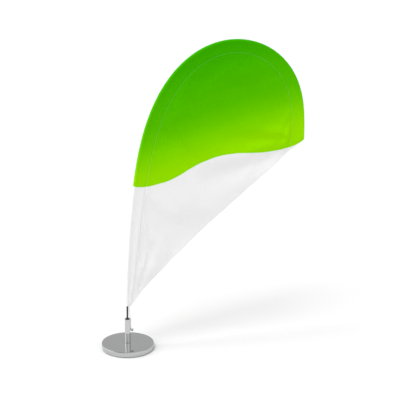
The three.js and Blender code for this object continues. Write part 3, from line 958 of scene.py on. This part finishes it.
def sleeveShape(c):
    # How far inward each of the sleeve's columns lies, and how far each cloth stands from the middle there.
    seam = seamAt(stations)[:, None]
    rodPart = np.tile(-c["edgeOut"] * np.sin(overRod), (len(stations), 1))
    rodHeight = np.tile(c["atFold"] + (c["rise"] - c["atFold"]) * np.cos(overRod), (len(stations), 1))
    pocket = inPocket * seam
    mouth = np.clip(1 - (stations - c["start"]) / c["mouth"], 0, 1)[:, None]
    level = c["mouthTop"][0] * seam * mouth
    foot = c["mouthTop"][1] * seam
    fall = np.clip((pocket - level) / (foot - level), 0, 1)
    heldOpen = 0.5 * (1 + np.cos(math.pi * fall)) * mouth
    puffFrom, puffTo = c["puffTo"]
    high = np.clip((shareOf(stations) - puffFrom) / (puffTo - puffFrom), 0, 1)[:, None]
    high = high * high * (3 - 2 * high)
    low, close = (cubicAt(np.array(c[key], float), inPocket * (len(c[key]) - 1), 0)
                  for key in ("puffedLow", "closeHigh"))
    pocketHeight = c["flat"] + (c["rise"] - c["flat"]) * np.maximum(heldOpen, low * (1 - high) + close * high)
    height = np.hstack([rodHeight, pocketHeight])
    closing = np.clip((c["end"] - stations - c["endShut"]) / c["endTaper"], 0, 1)[:, None]
    return np.hstack([rodPart, pocket]), np.minimum(height, c["flat"] + (height - c["flat"]) * closing)


farOff = 99.0  # stands for the hem's distance on the sleeve


def clothMiddle(c):
    # The surface midway between the cloths, how far each lies from it, and how far from seam and free edge.
    inward, height = sleeveShape(c)
    sleeve = onBow(slanted(stations[:, None], inward), inward)
    scale = np.minimum(1, clothWidth / (pastSeam[-1] + atHem[0] + c["bare"]))
    first = pastSeam * scale
    last = clothWidth - atHem * scale
    steps = np.linspace(0, 1, c["inside"] + 2)[1:-1]
    inside = first[:, -1:] + (last[:, :1] - first[:, -1:]) * steps
    distance = np.hstack([first, inside, last])
    share = distance / clothWidth
    flat = seamLine[:, None] + (edgeLine - seamLine)[:, None] * share[:, :, None]

    moved, picked = clothShift(settling)
    rows = np.arange(len(stations))
    moved = cubicAt(moved, np.interp(rows, picked, np.arange(len(picked))), 0)
    most = moved.shape[1] - 1
    at = share * most
    base = np.minimum(at.astype(int), most - 1)
    around = [moved[rows[:, None], np.clip(base + k, 0, most)] for k in (-1, 0, 1, 2)]
    flat = flat + cubic(*around, (at - base)[:, :, None])

    middle = np.concatenate([sleeve, flat], axis=1)
    heights = np.hstack([height, np.full(distance.shape, c["flat"])])
    pastSeamBy = np.hstack([inward - seamAt(stations)[:, None], distance])
    fromEdge = np.hstack([np.full(inward.shape, farOff), clothWidth - distance])
    return middle, heights, pastSeamBy, fromEdge


middle, heights, pastSeamBy, fromEdge = clothMiddle(cut)
print("cloth shape settled", middle.shape)

# Small gathers along the two stitch lines. They are highest at their reach from the line, and the thread
# itself is sunk in the cloth.
seamGathers = {"height": 0.3, "reach": 3.2, "blunt": 0.8, "lean": 0.5, "lengths": (7.5, 10.4, 17),
               "sunk": 0.1, "spread": 0.5, "stitchAt": 0.4}
hemGathers = {"height": 0.12, "reach": 2.6, "blunt": 0.6, "lean": 0.4, "lengths": (6.3, 9.1, 15),
              "sunk": 0.06, "spread": 0.36}
gatherRoom = 40  # width of cloth from which they have their full height
rodShare = 0.9  # of the sleeve's width, where the cloth lies on the rod without gathers


def gather(g, distance, run, seed):
    near = np.hypot(distance, g["blunt"]) - g["blunt"]
    run = run + g["lean"] * near
    ripple = sum(np.sin(2 * math.pi * run / length + seed.uniform(0, 6.28)) for length in g["lengths"])
    envelope = near / g["reach"] * np.exp(1 - near / g["reach"])
    return g["height"] * envelope * (0.5 + 0.5 * ripple / len(g["lengths"])), near


def pucker(c, which):
    seed = np.random.default_rng(which)
    atSeam = gather(seamGathers, pastSeamBy, lengthsOf(seamLine)[:, None], seed)[0]
    byHem, nearHem = gather(hemGathers, fromEdge - c["stitchIn"], lengthsOf(edgeLine)[:, None], seed)
    sunk = seamGathers["sunk"] * np.exp(-(pastSeamBy - seamGathers["stitchAt"]) ** 2 / seamGathers["spread"])
    sunk = sunk + hemGathers["sunk"] * np.exp(-nearHem ** 2 / hemGathers["spread"])
    onRod = pastSeamBy < -rodShare * seamAt(stations)[:, None]
    return np.where(onRod, 0, (atSeam + byHem - sunk) * np.clip(clothWidth / gatherRoom, 0, 1))


def gridNormals(points):
    return unit(np.cross(np.gradient(points, axis=0), np.gradient(points, axis=1)))


def clothPanel(name, side, node, c):
    # One cloth as a closed sheet: its outer face, its inner face and the strip round their rim.
    rows, columns = heights.shape
    out = heights + pucker(c, 3 if side < 0 else 4)
    surface = middle + side * gridNormals(middle) * out[:, :, None]
    normals = side * gridNormals(surface)
    scale = np.clip(clothWidth / c["hemFull"], c["hemLeast"], 1)
    inHem = np.clip((c["hemWidth"] * scale - fromEdge) / (c["hemStep"] * scale) + 0.5, 0, 1)
    rounded = np.sqrt(np.clip(1 - (1 - np.clip(fromEdge / c["rim"], 0, 1)) ** 2, 0.002, 1))
    outer = surface + normals * ((c["cloth"] / 2 + c["hemFold"] * inHem) * rounded)[:, :, None]
    inner = surface - normals * (c["cloth"] / 2 * rounded)[:, :, None]
    points = np.concatenate([outer.reshape(-1, 3), inner.reshape(-1, 3)])
    count = rows * columns
    front = side < 0
    faces = gridFaces(rows, columns, flip=not front) + gridFaces(rows, columns, start=count, flip=front)
    index = np.arange(count).reshape(rows, columns)
    loop = np.concatenate([index[0], index[1:, -1], index[-1, -2::-1], index[-2:0:-1, 0]]).tolist()
    for p, q in zip(loop, loop[1:] + loop[:1]):
        face = (q, p, p + count, q + count)
        faces.append(face if front else face[::-1])
    piece = newPiece(name, points, faces, clothFinish, "flag", node, sharp=70)
    return piece, outer, normals


# thin, proud and sunk are shares of a stitch's radius.
stitch = {"pitch": 3.0, "length": 2.55, "radius": 0.2, "thin": 0.45, "proud": 0.5, "sunk": 0.45, "rings": 7,
          "sides": 7}
# Each row's name, its node, the cloth's column that it follows, and the share of it that is sewn.
stitchRows = [
    ("sleeve_stitches", "channel_thread", len(overRod) + len(inPocket), (0.008, 0.995)),
    ("hem_stitches", "hem_thread", -1 - np.argmin(np.abs(atHem[::-1] - cut["stitchIn"])), (0.06, 0.985)),
]


def stitchRow(name, line, normals, s, node, ends):
    walked = lengthsOf(line)
    starts = np.arange(walked[-1] * ends[0], walked[-1] * ends[1] - s["pitch"], s["pitch"])
    share = np.linspace(0, 1, s["rings"])
    hump = np.sin(math.pi * share)
    radii = s["radius"] * (s["thin"] + (1 - s["thin"]) * hump ** 0.5)
    rise = s["radius"] * (hump * (s["proud"] + s["sunk"]) - s["sunk"])
    points, faces = [], []
    for start in starts:
        run = start + share * s["length"]
        centre = atLength(line, run) + unit(readAt(run, walked, normals)) * rise[:, None]
        more, quads = sweptMesh(centre, radii, s["sides"], start=sum(map(len, points)))
        points.append(more)
        faces += quads
    return newPiece(name, np.concatenate(points), faces, threadFinish, "flag", node)


tack = {"passes": 9, "radius": 0.16, "inside": 0.12, "spacing": 0.12, "rounded": 0.1, "sides": 8}


def tailTack(name, side, node, t):
    # Close zigzag stitches over the elastic's ends, on the sleeve's outer face.
    low, high = nodeBox(node)
    face = (high if side > 0 else low)[1] - side * t["inside"]
    zigzag = [(low[0] if k % 2 else high[0], face, low[2] + (high[2] - low[2]) * k / t["passes"])
              for k in range(t["passes"] + 1)]
    line, radii = roundEnds(alongLine(zigzag, t["spacing"]), t["radius"], t["rounded"])
    points, faces = sweptMesh(line, radii, t["sides"])
    return newPiece(name, points, faces, threadFinish, "flag", node)


def flagSide(word, side):
    panel, outer, normals = clothPanel(f"cloth_{word}", side, f"{word}_panel", cut)
    sewn = [stitchRow(f"{name}_{word}", outer[:, column], normals[:, column], stitch, f"{node}_{word}", ends)
            for name, node, column, ends in stitchRows]
    sewn.append(tailTack(f"tack_stitches_{word}", side, f"tail_tack_{word}", tack))


flagSide("front", -1)
flagSide("back", 1)

# The screw and the washers under the disc keep their meshes and get finishes.
kept = {"base_screw": steelFinish, "spring_washer": steelFinish, "glide_washer": nylonFinish}
for node, finish in kept.items():
    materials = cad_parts[node].data.materials
    materials.clear()
    materials.append(finish)

studio = {
    "floorSize": 14000,
    "floorSides": 96,
    "floorDrop": 0.05,  # the floor lies this far under the pad
    "floorColour": "D7D7D7",
    "grain": 4,
    "grainDepth": 0.05,
    # Brightness of the sky, from straight down to straight up, with the horizon at 0.5.
    "sky": [(0, 1.05), (0.495, 1.05), (0.5, 0.62), (0.74, 0.6572), (1, 0.36)],
    "darkest": 0.02,
    # Soft white reflectors, by where they stand and how wide they are, in degrees. The last one is the
    # dark gap over the camera.
    "panels": [
        {"around": -112, "above": 25, "inner": 16, "outer": 38, "extra": 1.6},
        {"around": 8, "above": 28, "inner": 22, "outer": 58, "extra": 0.7},
        {"around": -20, "above": 62, "inner": 16, "outer": 40, "extra": -0.42},
    ],
    "lamp": 2.5,
    "lampWidth": 34,  # degrees, so its shadows are soft
    "lampFrom": (-0.29, -0.1, 0.95),
}


def addFloor(s):
    turn = 2 * math.pi * np.arange(s["floorSides"]) / s["floorSides"]
    ring = np.stack([np.cos(turn), np.sin(turn), np.zeros(len(turn))], axis=1) * s["floorSize"]
    ring[:, 2] = -s["floorDrop"]
    colour = ink(s["floorColour"])
    finish, tree, shader = newFinish("pale_floor", Base_Color=colour, Roughness=0.95, Specular_IOR_Level=0.0)
    relief(tree, shader, noise(tree, s["grain"], 3), s["grainDepth"], 0.1)
    floor = newObject("floor", ring, [tuple(range(len(turn)))])
    floor.data.materials.append(finish)


def addLight(s):
    world = bpy.data.worlds.new("studio")
    bpy.context.scene.world = world
    world.use_nodes = True
    tree = world.node_tree
    direction = addNode(tree, "ShaderNodeTexCoord").outputs["Generated"]
    height = addNode(tree, "ShaderNodeSeparateXYZ", Vector=direction).outputs["Z"]
    stops = [(at, (shade, shade, shade, 1)) for at, shade in s["sky"]]
    sky = ramp(tree, stretch(tree, height, -1, 1, 0, 1), stops)
    total = addNode(tree, "ShaderNodeSeparateColor", Color=sky).outputs[0]
    aboveGround = calc(tree, "GREATER_THAN", height, 0)
    for panel in s["panels"]:
        near = addNode(tree, "ShaderNodeVectorMath", {"operation": "DOT_PRODUCT"})
        feed(tree, near.inputs[0], direction)
        feed(tree, near.inputs[1], wayTo(panel))
        glow = addNode(tree, "ShaderNodeMapRange", {"interpolation_type": "SMOOTHSTEP"},
                       Value=near.outputs["Value"], From_Min=math.cos(math.radians(panel["outer"])),
                       From_Max=math.cos(math.radians(panel["inner"])), To_Min=0, To_Max=panel["extra"])
        total = calc(tree, "ADD", total, calc(tree, "MULTIPLY", glow.outputs[0], aboveGround))
    total = calc(tree, "MAXIMUM", total, s["darkest"])
    tree.links.new(total, tree.nodes["Background"].inputs["Color"])
    lamp = bpy.data.lights.new("soft_light", "SUN")
    lamp.energy = s["lamp"]
    lamp.angle = math.radians(s["lampWidth"])
    holder = bpy.data.objects.new("soft_light", lamp)
    holder.visible_glossy = False  # no bright spot of it on the chrome
    holder.rotation_euler = Vector(s["lampFrom"]).to_track_quat("Z", "Y").to_euler()
    bpy.context.scene.collection.objects.link(holder)
    bpy.context.scene.view_settings.view_transform = "Standard"


addFloor(studio)
addLight(studio)

print("scene built")
